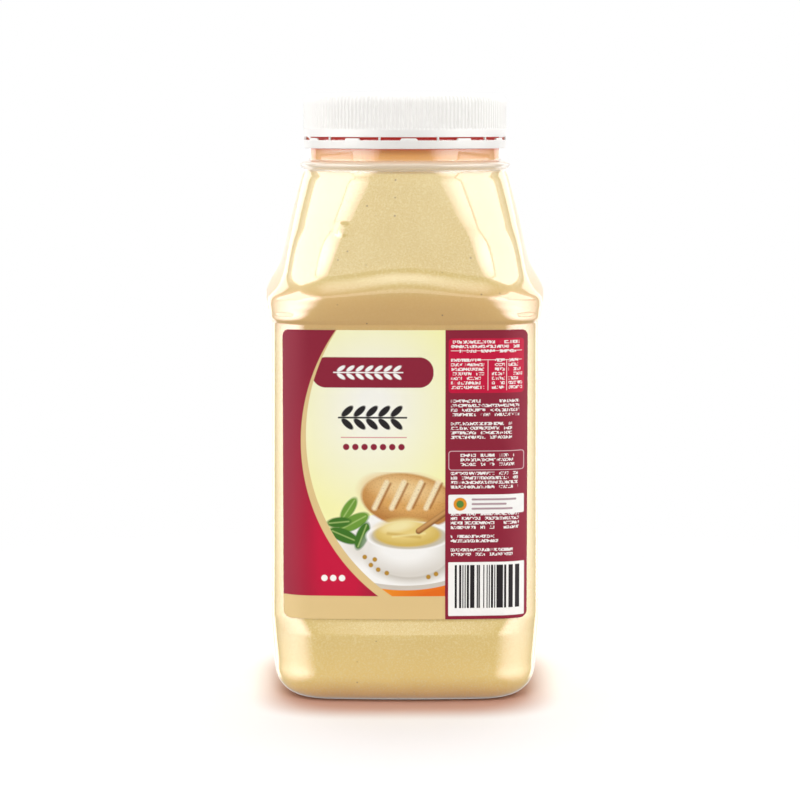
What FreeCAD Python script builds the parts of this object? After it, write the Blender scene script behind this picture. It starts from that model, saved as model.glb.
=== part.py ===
"""Family jar of mustard with a ribbed screw cap and a front label.

The jar is a blown clear shell.  Its plan starts round under the neck, squares off down the
shoulder, swells into a bulge over the label panel and ends in a base with rounded corners.
Every horizontal section of the body is the same closed line: four long arcs, one for each
face, joined by four tangent corner arcs.  The cavity uses the same sections, drawn in by
the wall, and the mustard is that cavity up to its level.  The cap, its tear band and the
thin bridges between the two are one moulding.

Origin: middle of the base, on the surface the jar stands on.  +Z up, the label faces -Y.
"""
import FreeCAD, Part
import math
import os
import Sketcher

Vector = FreeCAD.Vector

# name, value in mm (degrees for angles; counts and shares are plain numbers), meaning
DIMENSIONS = [
    ("wall", 1.0, "wall of the blown body"),
    ("bulge_thickening", 1.5, "how much thicker the wall is in the bulge"),
    ("base_wall", 1.4, "thickness of the bottom"),
    # body heights, from the bottom up
    ("foot_rise", 2.0, "rounding of the bottom edge to the narrowest part of the base band"),
    ("base_height", 28.7, "bottom to the top edge of the base band"),
    ("ledge_height", 6.2, "sloping ledge from base band to label panel"),
    ("panel_height", 121.9, "upright label panel"),
    ("underside_height", 10.1, "underside of the bulge"),
    ("flare_height", 11.8, "flare of the shoulder into the bulge"),
    ("shoulder_height", 38.3, "shoulder from the flare to the neck"),
    # plan of the body: the panel's half width, and how the rest differs from it
    ("panel_half", 56.2, "half width of the label panel at its top, across the sides"),
    ("panel_narrowing", 1.9, "how much nearer the panel's front and back are"),
    ("panel_draft", 0.8, "how much wider the panel is at its lower edge"),
    ("base_overhang", 0.9, "top edge of the base band beyond the panel's sides"),
    ("foot_taper", 1.3, "how much the base band narrows downwards"),
    ("seam_step", 0.4, "step from the underside of the bulge in to the panel"),
    ("bulge_rise_x", 4.2, "bulge beyond the panel, at the sides"),
    ("bulge_rise_y", 6.3, "bulge beyond the panel, at front and back"),
    ("shoulder_inset", 2.7, "start of the shoulder inside the panel's sides"),
    # face and corner arcs of the sections
    ("base_face_radius", 335.3, "bow of the base faces"),
    ("base_corner", 23.4, "corner radius of the base"),
    ("panel_face_radius", 426.7, "bow of the panel faces"),
    ("panel_corner", 18.3, "corner radius of the panel"),
    ("bulge_face_radius", 152.4, "bow of the bulge"),
    ("bulge_corner", 30.5, "corner radius of the bulge"),
    ("shoulder_face_radius", 160.0, "bow of the lower shoulder"),
    ("shoulder_corner", 24.5, "corner radius of the lower shoulder"),
    ("neck_end_bow", 1.6, "face arcs under the neck: radius beyond the half width"),
    ("neck_end_squareness", 1.4, "corner arcs under the neck: radius short of it"),
    # sections between the named ones, as shares of the way from one to the next
    ("under_height_share", 0.5, "section in the underside: its height"),
    ("under_x_share", 0.55, "its half width"),
    ("under_y_share", 0.5, "its half depth"),
    ("under_face_share", 0.6, "bow of its faces"),
    ("under_corner_share", 0.5, "its corner radius"),
    ("middle_drop", 0.3, "how far the bulge's middle lies inside its crest, front and back"),
    ("crest_height_share", 0.33, "section at the front's crest: its height in the flare"),
    ("crest_x_share", 0.2, "its half width"),
    ("flare_height_share", 0.7, "section high in the flare: its height"),
    ("flare_x_share", 0.7, "its half width"),
    ("flare_y_share", 0.6, "its half depth"),
    ("flare_arc_share", 0.7, "its arcs"),
    ("mid_height_share", 0.5, "section half way up the shoulder: its height"),
    ("mid_half_share", 0.48, "its half widths"),
    ("mid_face_share", 0.7, "bow of its faces"),
    ("mid_corner_share", 0.6, "its corner radius"),
    # bottom
    ("foot_fillet", 12.2, "rounding of the bottom edge"),
    ("push_up_margin", 7.0, "flat ring from that rounding in to the raised middle"),
    ("push_up_depth", 3.7, "how far the middle of the bottom is raised"),
    ("push_up_shoulder_share", 0.8, "radius and rise where the raised middle's slope eases"),
    ("push_up_flat_share", 0.4, "radius of the raised middle's flat"),
    # neck: the finish inside the cap, and how the rest differs from it
    ("finish_radius", 39.8, "neck inside the cap"),
    ("finish_wall", 1.4, "wall of the neck inside the cap"),
    ("finish_height", 21.3, "neck from the cap's lower edge to the brim"),
    ("collar_step", 3.3, "collar under the support ring beyond the finish"),
    ("collar_height", 1.4, "upright collar under the support ring"),
    ("neck_end_step", 0.3, "end of the shoulder beyond the collar"),
    ("ring_height", 3.5, "support ring where it leaves the neck"),
    ("ring_tip", 1.1, "thickness of the support ring at its rim"),
    ("ring_reach", 1.5, "support ring beyond the collar"),
    ("neck_low_step", 1.1, "neck just above the support ring beyond the finish"),
    ("neck_high_step", 0.5, "neck where it runs up under the cap, beyond the finish"),
    ("neck_show_height", 5.0, "neck that shows between ring and cap"),
    ("bead_height", 2.0, "lock bead inside the tear band"),
    ("bead_step", 1.1, "lock bead beyond the finish"),
    ("headspace", 9.0, "brim down to the level of the mustard"),
    # cap
    ("thread_room", 1.7, "gap between the finish and the cap's skirt"),
    ("cap_skirt", 1.3, "thickness of the cap's skirt"),
    ("cap_top", 1.7, "thickness of the cap's top"),
    ("cap_crown", 0.8, "rise of the cap's top over its edge"),
    ("cap_edge", 3.3, "rounding of the cap's top edge"),
    ("band_height", 3.5, "tear band"),
    ("slit_height", 1.3, "open slits between rim and tear band"),
    ("rim_height", 2.7, "plain rim under the ribs"),
    ("band_taper", 0.5, "how much the tear band narrows to its lower edge"),
    ("lip_height", 1.2, "lip inside the tear band"),
    ("lip_clearance", 0.25, "gap between that lip and the neck"),
    ("rib_depth", 0.45, "depth of the grooves between the ribs"),
    ("rib_count", 150, "number of ribs"),
    ("rib_share", 0.5, "share of the pitch that a rib takes"),
    ("rib_flare", 0.9, "height over which the grooves run out above the rim"),
    ("rib_top_share", 0.2, "where a rib runs out in the rounded edge, as a share of it"),
    ("bridge_count", 11, "number of bridges over the slit, and of tabs between them"),
    ("bridge_angle", 1.3, "width of a bridge, in degrees"),
    ("first_bridge", 26.6, "turn of the first bridge from the side, in degrees"),
    ("tab_angle", 9.0, "width of a tab on the tear band, in degrees"),
    ("tab_gap", 0.5, "gap that a tab leaves under the rim"),
    ("cut_overlap", 0.5, "angle by which one cut reaches into the next, in degrees"),
    ("cut_margin", 1.0, "how far a cut reaches past the skirt"),
    # label
    ("label_margin", 6.2, "panel's sides to the label's ends, seen from the front"),
    ("label_lift", 0.6, "panel's lower edge to the label's"),
    ("label_top_gap", 2.7, "label's upper edge to the panel's"),
    ("label_corner", 2.8, "corner radius of the label"),
    ("label_thickness", 0.15, "thickness of the label"),
]

doc = FreeCAD.newDocument("mustard_jar")
sheet = doc.addObject("Spreadsheet::Sheet", "dims")
for row, (alias, value, meaning) in enumerate(DIMENSIONS, start=1):
    sheet.set(f"A{row}", alias)
    sheet.set(f"B{row}", str(value))
    sheet.set(f"C{row}", meaning)
    sheet.setAlias(f"B{row}", alias)
doc.recompute()


def size(expression):
    """The number that an expression on the sheet's cells comes to."""
    result = sheet.evalExpression(expression)
    return float(getattr(result, "Value", result))


# Plan sizes that follow from the driving dimensions.
PANEL_HALF_Y = "(dims.panel_half - dims.panel_narrowing)"
BASE_HALF = "(dims.panel_half + dims.base_overhang)"
FOOT_HALF = f"({BASE_HALF} - dims.foot_taper)"
FOOT_HEIGHT = "(dims.foot_fillet + dims.foot_rise)"
BULGE_HALF_X = "(dims.panel_half + dims.bulge_rise_x)"
BULGE_HALF_Y = f"({PANEL_HALF_Y} + dims.bulge_rise_y)"
SHOULDER_HALF = "(dims.panel_half - dims.shoulder_inset)"
PUSH_UP_RADIUS = f"({FOOT_HALF} - dims.foot_fillet - dims.push_up_margin)"
BORE_RADIUS = "(dims.finish_radius - dims.finish_wall)"
COLLAR_RADIUS = "(dims.finish_radius + dims.collar_step)"
RING_RADIUS = f"({COLLAR_RADIUS} + dims.ring_reach)"
NECK_END_HALF = f"({COLLAR_RADIUS} + dims.neck_end_step)"
NECK_END_FACE_RADIUS = f"({NECK_END_HALF} + dims.neck_end_bow)"
NECK_END_CORNER = f"({NECK_END_HALF} - dims.neck_end_squareness)"
NECK_LOW_RADIUS = "(dims.finish_radius + dims.neck_low_step)"
NECK_HIGH_RADIUS = "(dims.finish_radius + dims.neck_high_step)"
BEAD_RADIUS = "(dims.finish_radius + dims.bead_step)"
CAP_INNER = "(dims.finish_radius + dims.thread_room)"
CAP_RADIUS = f"({CAP_INNER} + dims.cap_skirt)"
CAP_ROOT = f"({CAP_RADIUS} - dims.rib_depth)"
LABEL_HALF = "(dims.panel_half - dims.label_margin)"
LABEL_HEIGHT = "(dims.panel_height - dims.label_lift - dims.label_top_gap)"

# Heights of the body, as sums of the driving dimensions.
LEDGE_TOP = "dims.base_height + dims.ledge_height"
PANEL_TOP = f"{LEDGE_TOP} + dims.panel_height"
BULGE_MIDDLE = f"{PANEL_TOP} + dims.underside_height"
FLARE_TOP = f"{BULGE_MIDDLE} + dims.flare_height"
NECK_START = f"{FLARE_TOP} + dims.shoulder_height"
RING_BOTTOM = f"{NECK_START} + dims.collar_height"
RING_TOP = f"{RING_BOTTOM} + dims.ring_height"
CAP_BOTTOM = f"{RING_TOP} + dims.neck_show_height"
BRIM = f"{CAP_BOTTOM} + dims.finish_height"
FILL_LEVEL = f"{BRIM} - dims.headspace"
SLIT_BOTTOM = f"{CAP_BOTTOM} + dims.band_height"
SLIT_TOP = f"{SLIT_BOTTOM} + dims.slit_height"
RIM_TOP = f"{SLIT_TOP} + dims.rim_height"
CAP_SHOULDER = f"{BRIM} + dims.cap_top - dims.cap_crown"
CAP_PEAK = f"{BRIM} + dims.cap_top"


def origin_plane(body, role):
    """One of a body's own three planes."""
    return next(item for item in body.Origin.OriginFeatures if item.Role == role)


def origin_line(body, role):
    """One of a body's own three axes."""
    return next(item for item in body.Origin.OriginFeatures if item.Role == role)


def new_sketch(body, name, role):
    """An empty sketch on one of the body's own planes."""
    sketch = body.newObject("Sketcher::SketchObject", name)
    sketch.AttachmentSupport = [(origin_plane(body, role), "")]
    sketch.MapMode = "FlatFace"
    return sketch


def dimension(sketch, name, expression, kind, *where):
    """Adds a dimensional constraint and binds it to an expression."""
    index = sketch.addConstraint(Sketcher.Constraint(kind, *where, size(expression)))
    sketch.renameConstraint(index, name)
    sketch.setExpression(f"Constraints.{name}", expression)


def section(body, name, height, half_x, half_y, face_radius, corner, inset="0"):
    """A horizontal section of the body: four bowed faces and four tangent corners.

    The face arcs are centred on the axes, so that drawing the section in by an inset only
    shortens the radii.
    """
    sketch = new_sketch(body, name, "XY_Plane")
    sketch.setExpression(".AttachmentOffset.Base.z", height)
    face = size(face_radius) - size(inset)
    turn = size(corner) - size(inset)
    back_x = size(face_radius) - size(half_x)
    back_y = size(face_radius) - size(half_y)
    # The corner's centre lies at face - turn from both face centres, (-back_x, 0) and
    # (0, -back_y): the meeting point of two equal circles, found from their chord.
    span = math.hypot(back_x, back_y)
    reach = math.sqrt((face - turn) ** 2 - (span / 2) ** 2)
    corner_x = -back_x / 2 + reach * back_y / span
    corner_y = -back_y / 2 + reach * back_x / span
    low = math.atan2(corner_y, corner_x + back_x)
    high = math.atan2(corner_y + back_y, corner_x)
    half_turn = math.pi
    arcs = [
        (-back_x, 0, face, -low, low),
        (corner_x, corner_y, turn, low, high),
        (0, -back_y, face, high, half_turn - high),
        (-corner_x, corner_y, turn, half_turn - high, half_turn - low),
        (back_x, 0, face, half_turn - low, half_turn + low),
        (-corner_x, -corner_y, turn, half_turn + low, half_turn + high),
        (0, back_y, face, half_turn + high, 2 * half_turn - high),
        (corner_x, -corner_y, turn, 2 * half_turn - high, 2 * half_turn - low),
    ]
    for x, y, radius, start, end in arcs:
        circle = Part.Circle(Vector(x, y, 0), Vector(0, 0, 1), radius)
        sketch.addGeometry(Part.ArcOfCircle(circle, start, end))
    for index in range(8):
        sketch.addConstraint(Sketcher.Constraint("Tangent", index, 2, (index + 1) % 8, 1))
    sketch.addConstraint([
        Sketcher.Constraint("PointOnObject", 0, 3, -1),
        Sketcher.Constraint("PointOnObject", 2, 3, -2),
        Sketcher.Constraint("Symmetric", 0, 3, 4, 3, -1, 1),
        Sketcher.Constraint("Symmetric", 2, 3, 6, 3, -1, 1),
        Sketcher.Constraint("Equal", 0, 2),
        Sketcher.Constraint("Equal", 0, 4),
        Sketcher.Constraint("Equal", 0, 6),
        Sketcher.Constraint("Equal", 1, 3),
        Sketcher.Constraint("Equal", 1, 5),
        Sketcher.Constraint("Equal", 1, 7),
    ])
    dimension(sketch, "face", f"{face_radius} - {inset}", "Radius", 0)
    dimension(sketch, "turn", f"{corner} - {inset}", "Radius", 1)
    dimension(sketch, "side_centre", f"{face_radius} - ({half_x})", "DistanceX", 0, 3, -1, 1)
    dimension(sketch, "front_centre", f"{face_radius} - ({half_y})", "DistanceY", 2, 3, -1, 1)
    return sketch


def outline(body, name, role, corners):
    """A closed outline of straight lines; each corner is a pair of expressions."""
    sketch = new_sketch(body, name, role)
    places = [Vector(size(x), size(y), 0) for x, y in corners]
    count = len(places)
    for index in range(count):
        sketch.addGeometry(Part.LineSegment(places[index], places[(index + 1) % count]))
    for index in range(count):
        sketch.addConstraint(Sketcher.Constraint("Coincident", index, 2, (index + 1) % count, 1))
    for index, (x, y) in enumerate(corners):
        if places[index].x == 0:
            sketch.addConstraint(Sketcher.Constraint("PointOnObject", index, 1, -2))
        else:
            dimension(sketch, f"x{index}", x, "DistanceX", -1, 1, index, 1)
        if places[index].y == 0:
            sketch.addConstraint(Sketcher.Constraint("PointOnObject", index, 1, -1))
        else:
            dimension(sketch, f"y{index}", y, "DistanceY", -1, 1, index, 1)
    return sketch


def loft(body, name, sketches, ruled):
    """A solid through a row of sections."""
    feature = body.newObject("PartDesign::AdditiveLoft", name)
    feature.Profile = sketches[0]
    feature.Sections = sketches[1:]
    feature.Ruled = ruled
    return feature


def turned(body, name, profile, kind="PartDesign::Revolution", angle="360", middle=False):
    """A profile in the XZ plane, turned about the upright axis."""
    feature = body.newObject(kind, name)
    feature.Profile = profile
    feature.ReferenceAxis = (profile, ["V_Axis"])
    feature.Midplane = middle
    feature.setExpression("Angle", angle)
    return feature


def ring_pattern(body, name, features, count):
    """Copies of some features, evenly spaced round the upright axis."""
    pattern = body.newObject("PartDesign::PolarPattern", name)
    pattern.Originals = features
    pattern.Axis = (origin_line(body, "Z_Axis"), [""])
    pattern.Angle = 360
    pattern.setExpression("Occurrences", count)
    pattern.Refine = False
    body.Tip = pattern
    return pattern


def round_edges(body, name, base, radius, wanted):
    """Rounds the edges of a feature whose middle point is wanted."""
    doc.recompute()
    names = [f"Edge{number}" for number, edge in enumerate(base.Shape.Edges, start=1)
             if wanted(edge)]
    feature = body.newObject("PartDesign::Fillet", name)
    feature.Base = (base, names)
    feature.setExpression("Radius", radius)
    return feature


def between(low, high, share):
    """An expression that lies a share of the way from one size to another."""
    return f"({low}) + (({high}) - ({low})) * {share}"


def body_form(name, inset, thickening, floor):
    """The body of the jar from its bottom to the neck, drawn in by an inset, and by a further
    thickening in the bulge."""
    body = doc.addObject("PartDesign::Body", name)

    def at(label, height, half_x, half_y, face_radius, corner, inward=inset):
        return section(body, f"{name}_{label}", height, half_x, half_y, face_radius, corner, inward)

    base_arcs = ("dims.base_face_radius", "dims.base_corner")
    panel_arcs = ("dims.panel_face_radius", "dims.panel_corner")
    bulge_arcs = ("dims.bulge_face_radius", "dims.bulge_corner")
    shoulder_arcs = ("dims.shoulder_face_radius", "dims.shoulder_corner")

    bottom = at("bottom", floor, FOOT_HALF, FOOT_HALF, *base_arcs)
    foot = at("foot", FOOT_HEIGHT, FOOT_HALF, FOOT_HALF, *base_arcs)
    band = at("band", "dims.base_height", BASE_HALF, BASE_HALF, *base_arcs)
    panel_low = at("panel_low", LEDGE_TOP, "dims.panel_half + dims.panel_draft",
                   f"{PANEL_HALF_Y} + dims.panel_draft", *panel_arcs)
    panel_high = at("panel_high", PANEL_TOP, "dims.panel_half", PANEL_HALF_Y, *panel_arcs)
    lower = loft(body, f"{name}_lower", [bottom, foot, band, panel_low, panel_high], True)
    foot_level = size(floor)
    round_edges(body, f"{name}_foot_edge", lower, f"dims.foot_fillet - {inset}",
                lambda edge: abs(edge.BoundBox.ZMax - foot_level) < 1e-6)

    thick = f"({inset} + {thickening})"
    half_thick = f"({inset} + {thickening} / 2)"
    seam = at("seam", PANEL_TOP, "dims.panel_half + dims.seam_step",
              f"{PANEL_HALF_Y} + dims.seam_step", *panel_arcs)
    under = at("under", f"{PANEL_TOP} + dims.underside_height * dims.under_height_share",
               between("dims.panel_half", BULGE_HALF_X, "dims.under_x_share"),
               between(PANEL_HALF_Y, BULGE_HALF_Y, "dims.under_y_share"),
               between("dims.panel_face_radius", "dims.bulge_face_radius",
                       "dims.under_face_share"),
               between("dims.panel_corner", "dims.bulge_corner", "dims.under_corner_share"),
               half_thick)
    middle = at("middle", BULGE_MIDDLE, BULGE_HALF_X, f"{BULGE_HALF_Y} - dims.middle_drop",
                *bulge_arcs, thick)
    crest = at("crest", f"{BULGE_MIDDLE} + dims.flare_height * dims.crest_height_share",
               between(BULGE_HALF_X, SHOULDER_HALF, "dims.crest_x_share"), BULGE_HALF_Y,
               *bulge_arcs, thick)
    flare = at("flare", f"{BULGE_MIDDLE} + dims.flare_height * dims.flare_height_share",
               between(BULGE_HALF_X, SHOULDER_HALF, "dims.flare_x_share"),
               between(BULGE_HALF_Y, SHOULDER_HALF, "dims.flare_y_share"),
               between("dims.bulge_face_radius", "dims.shoulder_face_radius",
                       "dims.flare_arc_share"),
               between("dims.bulge_corner", "dims.shoulder_corner", "dims.flare_arc_share"),
               half_thick)
    flare_top = at("flare_top", FLARE_TOP, SHOULDER_HALF, SHOULDER_HALF, *shoulder_arcs)
    loft(body, f"{name}_bulge", [seam, under, middle, crest, flare, flare_top], False)

    shoulder_low = at("shoulder_low", FLARE_TOP, SHOULDER_HALF, SHOULDER_HALF, *shoulder_arcs)
    mid_half = between(SHOULDER_HALF, NECK_END_HALF, "dims.mid_half_share")
    shoulder_mid = at("shoulder_mid",
                      f"{FLARE_TOP} + dims.shoulder_height * dims.mid_height_share",
                      mid_half, mid_half,
                      between("dims.shoulder_face_radius", NECK_END_FACE_RADIUS,
                              "dims.mid_face_share"),
                      between("dims.shoulder_corner", NECK_END_CORNER, "dims.mid_corner_share"))
    neck_end = at("neck_end", NECK_START, NECK_END_HALF, NECK_END_HALF,
                  NECK_END_FACE_RADIUS, NECK_END_CORNER)
    loft(body, f"{name}_shoulder", [shoulder_low, shoulder_mid, neck_end], False)
    return body


def raised_bottom(body, name, level):
    """Takes the hollow under the raised middle of the bottom out of a body."""
    hollow = outline(body, f"{name}_profile", "XZ_Plane", [
        ("0", level),
        (PUSH_UP_RADIUS, level),
        (f"{PUSH_UP_RADIUS} * dims.push_up_shoulder_share",
         f"dims.push_up_depth * dims.push_up_shoulder_share + {level}"),
        (f"{PUSH_UP_RADIUS} * dims.push_up_flat_share", f"dims.push_up_depth + {level}"),
        ("0", f"dims.push_up_depth + {level}"),
    ])
    turned(body, name, hollow, "PartDesign::Groove")


def jar_form():
    """The outer form of the jar: body, support ring, neck and the hollow under the bottom."""
    body = body_form("jar_form", "0", "0", "0")
    ring_middle = f"{RING_BOTTOM} + dims.ring_height / 2"
    bead_bottom = f"{CAP_BOTTOM} + dims.lip_height"
    neck = outline(body, "neck_profile", "XZ_Plane", [
        ("0", NECK_START),
        (COLLAR_RADIUS, NECK_START),
        (COLLAR_RADIUS, RING_BOTTOM),
        (RING_RADIUS, f"{ring_middle} - dims.ring_tip / 2"),
        (RING_RADIUS, f"{ring_middle} + dims.ring_tip / 2"),
        (NECK_LOW_RADIUS, RING_TOP),
        (NECK_HIGH_RADIUS, CAP_BOTTOM),
        (BEAD_RADIUS, bead_bottom),
        (BEAD_RADIUS, f"{bead_bottom} + dims.bead_height / 2"),
        ("dims.finish_radius", f"{bead_bottom} + dims.bead_height"),
        ("dims.finish_radius", BRIM),
        ("0", BRIM),
    ])
    turned(body, "neck", neck)
    raised_bottom(body, "push_up", "0")
    return body


def cavity():
    """The inside of the jar: body, neck and the raised bottom."""
    body = body_form("cavity", "dims.wall", "dims.bulge_thickening", "dims.base_wall")
    above_brim = f"{BRIM} + dims.cut_margin"
    bore = outline(body, "bore_profile", "XZ_Plane", [
        ("0", NECK_START),
        (f"{COLLAR_RADIUS} - dims.wall", NECK_START),
        (BORE_RADIUS, f"{RING_BOTTOM} + dims.ring_height / 2"),
        (BORE_RADIUS, above_brim),
        ("0", above_brim),
    ])
    turned(body, "bore", bore)
    raised_bottom(body, "raised_bottom", "dims.base_wall")
    return body


def jar(form, inside):
    """The jar: its outer form less its cavity."""
    shell = doc.addObject("Part::Cut", "jar")
    shell.Base = form
    shell.Tool = inside
    return shell


def mustard(inside):
    """The contents: the cavity up to the level of the mustard."""
    block = doc.addObject("Part::Box", "fill_block")
    reach = f"2 * ({BULGE_HALF_X} + {BULGE_HALF_Y})"
    block.setExpression("Length", reach)
    block.setExpression("Width", reach)
    block.setExpression("Height", FILL_LEVEL)
    block.setExpression(".Placement.Base.x", f"-({reach}) / 2")
    block.setExpression(".Placement.Base.y", f"-({reach}) / 2")
    contents = doc.addObject("Part::Common", "mustard")
    contents.Base = inside
    contents.Tool = block
    return contents


def cap():
    """The screw cap with its tear band, one moulding."""
    body = doc.addObject("PartDesign::Body", "lid")
    lip = f"({NECK_HIGH_RADIUS} + dims.lip_clearance)"
    shell = outline(body, "cap_profile", "XZ_Plane", [
        ("0", BRIM),
        (CAP_INNER, BRIM),
        (CAP_INNER, SLIT_BOTTOM),
        (CAP_INNER, f"{CAP_BOTTOM} + dims.lip_height"),
        (lip, f"{CAP_BOTTOM} + dims.lip_height / 2"),
        (lip, CAP_BOTTOM),
        (f"{CAP_RADIUS} - dims.band_taper", CAP_BOTTOM),
        (CAP_RADIUS, SLIT_BOTTOM),
        (CAP_RADIUS, RIM_TOP),
        (CAP_ROOT, f"{RIM_TOP} + dims.rib_flare"),
        (CAP_ROOT, CAP_SHOULDER),
        ("0", CAP_PEAK),
    ])
    whole = turned(body, "cap_shell", shell)
    root_radius = size(CAP_ROOT)
    edge_level = size(CAP_SHOULDER)
    round_edges(body, "cap_edge", whole, "dims.cap_edge",
                lambda edge: abs(edge.BoundBox.ZMin - edge_level) < 1e-6
                and abs(edge.BoundBox.XMax - root_radius) < 1e-3)

    # Slits: wide ones either side of a bridge, a narrow one over each tab of the band.
    pitch = "360 / dims.bridge_count"
    outside = f"{CAP_RADIUS} + dims.cut_margin"
    inside = f"{CAP_INNER} - dims.cut_margin"

    def cut_round(name, corners, start, angle, kind):
        """Turns a profile through an angle, centred on a start angle, at every bridge."""
        profile = outline(body, f"{name}_profile", "XZ_Plane", corners)
        profile.AttachmentOffset = FreeCAD.Placement(
            Vector(), FreeCAD.Rotation(Vector(0, 1, 0), size(start)))
        profile.setExpression(".AttachmentOffset.Rotation.Angle", start)
        ring_pattern(body, f"{name}s", [turned(body, name, profile, kind, angle, True)],
                     "dims.bridge_count")

    cut_round("slit", [
        (inside, SLIT_BOTTOM), (outside, SLIT_BOTTOM), (outside, SLIT_TOP), (inside, SLIT_TOP)],
        "dims.first_bridge", f"{pitch} - dims.tab_angle", "PartDesign::Groove")
    cut_round("bridge", [
        (CAP_INNER, SLIT_BOTTOM), (CAP_ROOT, SLIT_BOTTOM), (CAP_ROOT, SLIT_TOP),
        (CAP_INNER, SLIT_TOP)],
        "dims.first_bridge", "dims.bridge_angle", "PartDesign::Revolution")
    gap_bottom = f"{SLIT_TOP} - dims.tab_gap"
    cut_round("tab_slit", [
        (inside, gap_bottom), (outside, gap_bottom), (outside, SLIT_TOP), (inside, SLIT_TOP)],
        f"dims.first_bridge + {pitch} / 2", "dims.tab_angle + dims.cut_overlap",
        "PartDesign::Groove")

    # Ribs: each is a slice of the skirt's outer profile, turned through part of the pitch.
    deep = f"{CAP_ROOT} - dims.rib_depth / 2"
    rib_bottom = f"{RIM_TOP} - dims.rib_flare / 2"
    edge_start = f"{CAP_SHOULDER} - dims.cap_edge"
    runout = "dims.cap_edge * dims.rib_top_share"
    rib_profile = outline(body, "rib_profile", "XZ_Plane", [
        (deep, rib_bottom),
        (CAP_RADIUS, rib_bottom),
        (CAP_RADIUS, edge_start),
        (f"{CAP_ROOT} - {runout}", f"{CAP_SHOULDER} - {runout}"),
        (deep, edge_start),
    ])
    rib = turned(body, "rib", rib_profile, "PartDesign::Revolution",
                 "360 / dims.rib_count * dims.rib_share", True)
    ring_pattern(body, "ribs", [rib], "dims.rib_count")
    return body


def label():
    """The label: a thin skin on the front of the panel, with rounded corners."""
    low = f"{LEDGE_TOP} + dims.label_lift"

    def sleeve(name, inset):
        body = doc.addObject("PartDesign::Body", name)
        ends = [section(body, f"{name}_{end}", height, f"dims.panel_half + {draft}",
                        f"{PANEL_HALF_Y} + {draft}", "dims.panel_face_radius",
                        "dims.panel_corner", inset)
                for end, height, draft in (("low", LEDGE_TOP, "dims.panel_draft"),
                                           ("high", PANEL_TOP, "0"))]
        loft(body, f"{name}_loft", ends, True)
        return body

    skin = doc.addObject("Part::Cut", "label_sleeve")
    skin.Base = sleeve("label_outside", "-dims.label_thickness")
    skin.Tool = sleeve("label_inside", "0")

    blank = doc.addObject("Part::Box", "label_blank")
    blank.setExpression("Length", f"2 * {LABEL_HALF}")
    blank.setExpression("Width", BULGE_HALF_Y)
    blank.setExpression("Height", LABEL_HEIGHT)
    blank.setExpression(".Placement.Base.x", f"-{LABEL_HALF}")
    blank.setExpression(".Placement.Base.y", f"-{BULGE_HALF_Y}")
    blank.setExpression(".Placement.Base.z", low)
    doc.recompute()
    rounded = doc.addObject("Part::Fillet", "label_rounded")
    rounded.Base = blank
    radius = size("dims.label_corner")
    rounded.Edges = [(number, radius, radius)
                     for number, edge in enumerate(blank.Shape.Edges, start=1)
                     if edge.BoundBox.YLength > max(edge.BoundBox.XLength, edge.BoundBox.ZLength)]
    sticker = doc.addObject("Part::Common", "label")
    sticker.Base = skin
    sticker.Tool = rounded
    return sticker


def main():
    inside = cavity()
    pieces = [jar(jar_form(), inside), mustard(inside), cap(), label()]
    for piece, node in zip(pieces, ("jar", "mustard", "lid", "label")):
        piece.Label = node
        piece.Placement = FreeCAD.Placement()
    doc.recompute()

    faults = [item.Name for item in doc.Objects
              if "Invalid" in item.State or "Error" in item.State]
    if faults:
        raise RuntimeError(f"objects that failed: {faults}")
    for piece in pieces:
        if piece.Shape.isNull() or not piece.Shape.isValid() or len(piece.Shape.Solids) != 1:
            raise RuntimeError(f"{piece.Label} isn't one valid solid")

    os.makedirs("parts", exist_ok=True)
    for piece in pieces:
        piece.Shape.exportStep(f"parts/{piece.Label}.step")
        box = piece.Shape.BoundBox
        print(f"{piece.Label}: {piece.Shape.Volume / 1000:.1f} cm3, "
              f"{box.XLength:.1f} x {box.YLength:.1f} x {box.ZLength:.1f} mm")


main()
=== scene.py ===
"""The looks of a family jar of mustard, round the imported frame.

Sizes are named in millimetres and turned into metres where a mesh is made.  Angles round the
jar count from +X towards +Y, so that the label's side is at -90 degrees.
"""
import math

import bpy
import numpy as np
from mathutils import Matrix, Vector


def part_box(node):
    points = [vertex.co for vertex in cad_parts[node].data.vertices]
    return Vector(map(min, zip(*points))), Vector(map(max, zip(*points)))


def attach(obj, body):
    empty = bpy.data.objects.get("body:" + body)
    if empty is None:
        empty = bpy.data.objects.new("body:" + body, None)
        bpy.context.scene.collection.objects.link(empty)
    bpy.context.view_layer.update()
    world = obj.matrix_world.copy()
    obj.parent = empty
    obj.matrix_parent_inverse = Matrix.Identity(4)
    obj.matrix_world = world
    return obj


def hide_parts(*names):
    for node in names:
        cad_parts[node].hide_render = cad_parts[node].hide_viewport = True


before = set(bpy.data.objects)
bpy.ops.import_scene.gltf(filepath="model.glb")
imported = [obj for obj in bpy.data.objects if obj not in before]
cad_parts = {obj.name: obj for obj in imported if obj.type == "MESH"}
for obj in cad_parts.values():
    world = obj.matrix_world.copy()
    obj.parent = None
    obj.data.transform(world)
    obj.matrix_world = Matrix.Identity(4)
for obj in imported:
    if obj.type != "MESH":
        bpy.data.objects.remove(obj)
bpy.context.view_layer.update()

MM = 0.001
TURN = 2 * math.pi


# ------------------------------------------------------------------ sizes, in mm
def low_of(node, axis):
    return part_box(node)[0][axis] / MM


def high_of(node, axis):
    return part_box(node)[1][axis] / MM


BRIM = high_of("jar", 2)
BULGE_X = high_of("jar", 0)
BULGE_Y = high_of("jar", 1)
CAP_BOTTOM = low_of("lid", 2)
CAP_PEAK = high_of("lid", 2)
CAP_RADIUS = high_of("lid", 0)
FILL_LEVEL = high_of("mustard", 2)
LABEL_BOTTOM = low_of("label", 2)
LABEL_TOP = high_of("label", 2)
LABEL_HALF = high_of("label", 0)

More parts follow.
